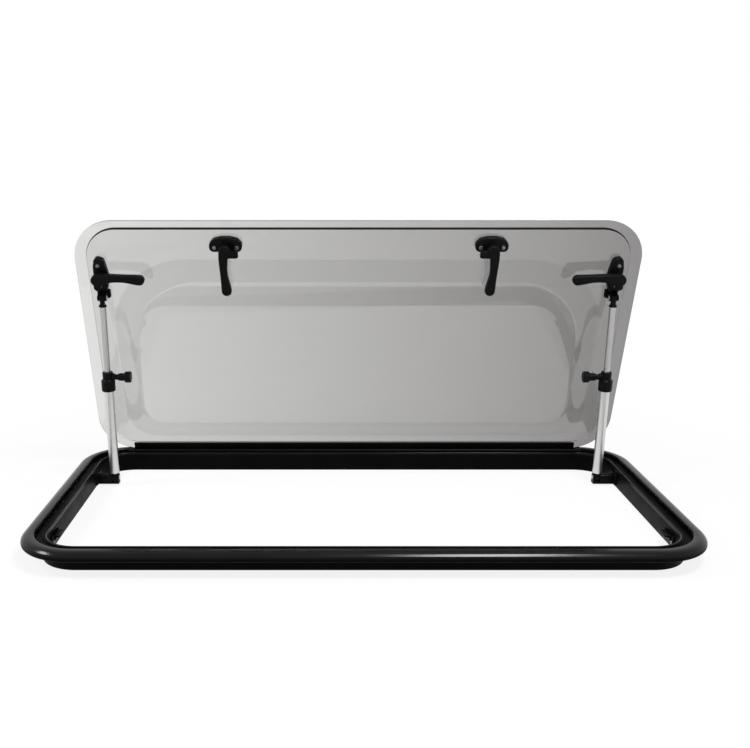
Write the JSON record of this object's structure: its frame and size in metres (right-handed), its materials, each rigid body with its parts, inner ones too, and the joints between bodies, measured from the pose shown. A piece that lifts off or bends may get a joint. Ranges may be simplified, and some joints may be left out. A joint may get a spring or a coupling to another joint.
{
  "type": "top-hung caravan window",
  "caption": "Top-hung caravan window: black moulded frame with a double acrylic sash held open on telescopic stays, with turn latches",
  "frame": {"origin": "middle of the outer frame, on the plane that the sleeve's foot stands on", "axes": "+X along the hinge, -Y towards the sash's free edge, +Z out of the caravan; the frame lies on its back and the sash stands open"},
  "size_m": [1.05, 0.53, 0.4948],
  "materials": {
    "frame_plastic": "satin black",
    "seal_rubber": "matt black",
    "hinge_strip": "matt black",
    "acrylic": "clear with a faint grey tint",
    "weld_seam": "dark bonded line",
    "fitting_plastic": "satin black",
    "dark_screw": "blackened",
    "pin_steel": "bright",
    "rod_metal": "satin",
    "tube_aluminium": "anodised satin"
  },
  "bodies": {
    "frame": {"outer_frame": "frame_plastic", "frame_seal": "seal_rubber", "frame_hinge_rail": "hinge_strip", "left_hinge_cap": "frame_plastic", "right_hinge_cap": "frame_plastic", "left_stay_bracket": "fitting_plastic", "right_stay_bracket": "fitting_plastic", "left_foot_pin": "pin_steel", "right_foot_pin": "pin_steel", "top_left_keeper": "fitting_plastic", "top_right_keeper": "fitting_plastic", "left_keeper": "fitting_plastic", "right_keeper": "fitting_plastic", "keeper_screws": "dark_screw"},
    "sash": {"sash_outer_pane": "acrylic", "sash_inner_pane": "acrylic", "sash_weld_seam": "weld_seam", "sash_hinge_rail": "hinge_strip", "top_left_latch_base": "fitting_plastic", "top_right_latch_base": "fitting_plastic", "left_latch_base": "fitting_plastic", "right_latch_base": "fitting_plastic", "top_latch_screws": "dark_screw", "side_latch_screws": "dark_screw", "left_stay_clevis": "fitting_plastic", "right_stay_clevis": "fitting_plastic", "left_stay_rivets": "pin_steel", "right_stay_rivets": "pin_steel"},
    "left_stay": {"left_stay_tube": "tube_aluminium", "left_stay_foot": "fitting_plastic", "left_stay_clamp": "fitting_plastic"},
    "left_rod": {"left_stay_rod": "rod_metal", "left_rod_end": "fitting_plastic"},
    "left_knob": {"left_clamp_knob": "fitting_plastic"},
    "top_left_latch": {"top_left_latch_lever": "fitting_plastic"},
    "left_latch": {"left_latch_lever": "fitting_plastic"},
    "right_stay": {"right_stay_tube": "tube_aluminium", "right_stay_foot": "fitting_plastic", "right_stay_clamp": "fitting_plastic"},
    "right_rod": {"right_stay_rod": "rod_metal", "right_rod_end": "fitting_plastic"},
    "right_knob": {"right_clamp_knob": "fitting_plastic"},
    "top_right_latch": {"top_right_latch_lever": "fitting_plastic"},
    "right_latch": {"right_latch_lever": "fitting_plastic"}
  },
  "joints": [
    {"name": "sash_hinge", "type": "hinge", "parent": "frame", "child": "sash", "pos_m": [0, 0.241, 0.0355], "axis": [-1, 0, 0], "range_deg": [-72, 0]},
    {"name": "left_stay_pivot", "type": "hinge", "parent": "frame", "child": "left_stay", "pos_m": [-0.454, 0.144, 0.0145], "axis": [-1, 0, 0], "range_deg": [-85.3, 0]},
    {"name": "left_rod_slide", "type": "slide", "parent": "left_stay", "child": "left_rod", "axis": [0, -0.0741, 0.9973], "range_m": [-0.0973, 0]},
    {"name": "left_clamp_knob_turn", "type": "hinge", "parent": "left_stay", "child": "left_knob", "pos_m": [-0.454, 0.12941, 0.21096], "axis": [1, 0, 0], "range_deg": [0, 180]},
    {"name": "right_stay_pivot", "type": "hinge", "parent": "frame", "child": "right_stay", "pos_m": [0.454, 0.144, 0.0145], "axis": [-1, 0, 0], "range_deg": [-85.3, 0]},
    {"name": "right_rod_slide", "type": "slide", "parent": "right_stay", "child": "right_rod", "axis": [0, -0.0741, 0.9973], "range_m": [-0.0973, 0]},
    {"name": "right_clamp_knob_turn", "type": "hinge", "parent": "right_stay", "child": "right_knob", "pos_m": [0.454, 0.12941, 0.21096], "axis": [-1, 0, 0], "range_deg": [0, 180]},
    {"name": "top_left_latch_turn", "type": "hinge", "parent": "sash", "child": "top_left_latch", "pos_m": [-0.231, 0.10912, 0.45109], "axis": [0, 0.9511, 0.309], "range_deg": [-90, 0]},
    {"name": "top_right_latch_turn", "type": "hinge", "parent": "sash", "child": "top_right_latch", "pos_m": [0.231, 0.10912, 0.45109], "axis": [0, -0.9511, -0.309], "range_deg": [-90, 0]},
    {"name": "left_latch_turn", "type": "hinge", "parent": "sash", "child": "left_latch", "pos_m": [-0.457, 0.12581, 0.39973], "axis": [0, -0.9511, -0.309], "range_deg": [-55, 0]},
    {"name": "right_latch_turn", "type": "hinge", "parent": "sash", "child": "right_latch", "pos_m": [0.457, 0.12581, 0.39973], "axis": [0, 0.9511, 0.309], "range_deg": [-55, 0]}
  ],
  "couplings": [
    {"joint": "left_stay_pivot", "follows": "sash_hinge", "ratio": 1.1781},
    {"joint": "left_rod_slide", "follows": "sash_hinge", "m_per_rad": 0.077049},
    {"joint": "right_stay_pivot", "follows": "sash_hinge", "ratio": 1.1781},
    {"joint": "right_rod_slide", "follows": "sash_hinge", "m_per_rad": 0.077049}
  ]
}
